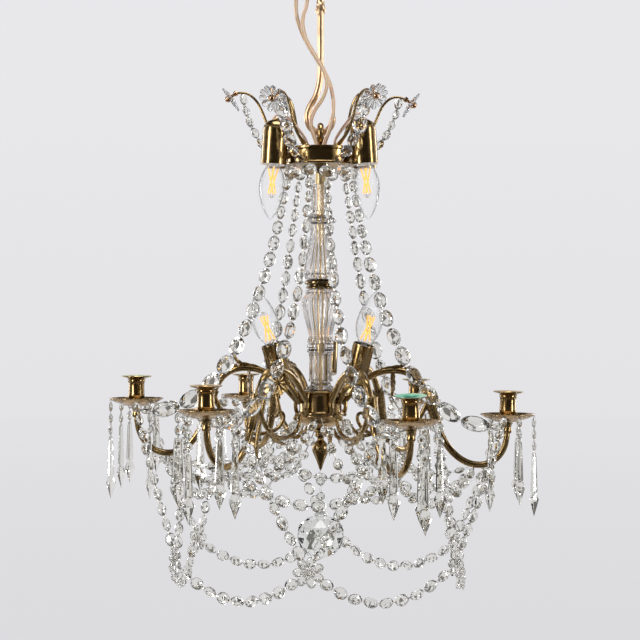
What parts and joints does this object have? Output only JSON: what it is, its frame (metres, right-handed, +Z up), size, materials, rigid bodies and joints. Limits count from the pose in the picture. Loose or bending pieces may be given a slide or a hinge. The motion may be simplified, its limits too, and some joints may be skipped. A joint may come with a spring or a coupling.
{
  "type": "crystal chandelier",
  "caption": "Brass and cut-glass chandelier on a hooked rod: crown with rosettes, glass column, candle arms, bead strings and swags, spear drops, a crystal ball and candle lamps.",
  "frame": {"origin": "middle of the bore in the eye at the top of the hanging rod", "axes": "+Z up along the rod, -Y towards the pictured front, +X to its right"},
  "size_m": [0.5768, 0.522, 0.819],
  "materials": {
    "polished_brass": "polished, coppery",
    "antique_brass": "aged and lacquered, darker in the hollows",
    "brown_brass": "satin, brown patina",
    "crystal": "cut and polished",
    "lamp_glass": "clear, thin blown glass",
    "holder_plastic": "matt moulded",
    "lead_sheath": "clear sheath over coppery strands",
    "connector_plastic": "matt moulded"
  },
  "bodies": {
    "hanger": {"hook_rod": "polished_brass"},
    "chandelier": {"hanging_loop": "antique_brass", "crown_ring": "antique_brass", "crown_dish": "antique_brass", "crown_branches": "antique_brass", "crown_rosettes": "crystal", "crown_tip_balls": "antique_brass", "crown_strings": "crystal", "crown_festoon": "crystal", "upper_socket_cups": "antique_brass", "upper_socket_bushes": "antique_brass", "upper_socket_leads": "lead_sheath", "centre_tube": "antique_brass", "column_tube_glass": "crystal", "column_collar_glass": "crystal", "column_bell_glass": "crystal", "column_brass_collar": "antique_brass", "column_baluster_glass": "crystal", "column_rings_glass": "crystal", "column_cylinder_glass": "crystal", "column_base_cup": "antique_brass", "hub_drum": "antique_brass", "hub_saucer": "brown_brass", "finial": "antique_brass", "candle_arm_1": "antique_brass", "candle_arm_2": "antique_brass", "candle_arm_3": "antique_brass", "candle_arm_4": "antique_brass", "candle_arm_5": "antique_brass", "candle_arm_6": "antique_brass", "arm_leaves": "antique_brass", "arm_scrolls": "antique_brass", "arm_bosses": "antique_brass", "bobeches": "brown_brass", "candle_cups": "antique_brass", "socket_brackets": "antique_brass", "lower_socket_tubes": "antique_brass", "lampholders": "holder_plastic", "graduated_strings": "crystal", "long_strings": "crystal", "swags": "crystal", "swag_rosettes": "crystal", "inner_swags": "crystal", "hub_strings": "crystal", "supply_lead_left": "lead_sheath", "supply_lead_right": "lead_sheath", "lead_connector": "connector_plastic", "prisms": "crystal"},
    "ball_pendant": {"crystal_ball": "crystal"},
    "lamp_1": {"lamp_bulb_1": "lamp_glass"},
    "lamp_2": {"lamp_bulb_2": "lamp_glass"},
    "lamp_3": {"lamp_bulb_3": "lamp_glass"},
    "lamp_4": {"lamp_bulb_4": "lamp_glass"},
    "lamp_5": {"lamp_bulb_5": "lamp_glass"},
    "drop_1": {"outer_prism_1": "crystal"},
    "drop_2": {"outer_prism_2": "crystal"},
    "drop_3": {"outer_prism_3": "crystal"},
    "drop_4": {"outer_prism_4": "crystal"},
    "drop_5": {"outer_prism_5": "crystal"},
    "drop_6": {"outer_prism_6": "crystal"}
  },
  "joints": [
    {"name": "chandelier_swing", "type": "hinge", "parent": "hanger", "child": "chandelier", "pos_m": [0, 0, -0.198], "axis": [1, 0, 0], "range_deg": [-6, 6]},
    {"name": "ball_swing", "type": "hinge", "parent": "chandelier", "child": "ball_pendant", "pos_m": [0, 0, -0.6508], "axis": [1, 0, 0], "range_deg": [-15, 15]},
    {"name": "lamp_1_unscrew", "type": "slide", "parent": "chandelier", "child": "lamp_1", "axis": [-0.0637, -0.0284, -0.9976], "range_m": [0, 0.03]},
    {"name": "lamp_2_unscrew", "type": "slide", "parent": "chandelier", "child": "lamp_2", "axis": [0.0604, -0.0349, -0.9976], "range_m": [0, 0.03]},
    {"name": "lamp_3_unscrew", "type": "slide", "parent": "chandelier", "child": "lamp_3", "axis": [-0.2671, -0.1189, 0.9563], "range_m": [0, 0.03]},
    {"name": "lamp_4_unscrew", "type": "slide", "parent": "chandelier", "child": "lamp_4", "axis": [0.2365, -0.1719, 0.9563], "range_m": [0, 0.03]},
    {"name": "lamp_5_unscrew", "type": "slide", "parent": "chandelier", "child": "lamp_5", "axis": [0.0407, 0.2895, 0.9563], "range_m": [0, 0.03]},
    {"name": "drop_1_swing", "type": "hinge", "parent": "chandelier", "child": "drop_1", "pos_m": [-0.28361, 0.01983, -0.5571], "axis": [0.0698, 0.9976, 0], "range_deg": [-12, 28]},
    {"name": "drop_2_swing", "type": "hinge", "parent": "chandelier", "child": "drop_2", "pos_m": [-0.15898, -0.23569, -0.5616], "axis": [-0.829, 0.5592, 0], "range_deg": [-12, 28]},
    {"name": "drop_3_swing", "type": "hinge", "parent": "chandelier", "child": "drop_3", "pos_m": [0.12463, -0.25553, -0.5731], "axis": [-0.8988, -0.4384, 0], "range_deg": [-12, 28]},
    {"name": "drop_4_swing", "type": "hinge", "parent": "chandelier", "child": "drop_4", "pos_m": [0.28361, -0.01983, -0.5766], "axis": [-0.0698, -0.9976, 0], "range_deg": [-12, 28]},
    {"name": "drop_5_swing", "type": "hinge", "parent": "chandelier", "child": "drop_5", "pos_m": [0.15898, 0.23569, -0.5681], "axis": [0.829, -0.5592, 0], "range_deg": [-12, 28]},
    {"name": "drop_6_swing", "type": "hinge", "parent": "chandelier", "child": "drop_6", "pos_m": [-0.12463, 0.25553, -0.5611], "axis": [0.8988, 0.4384, 0], "range_deg": [-12, 28]}
  ]
}
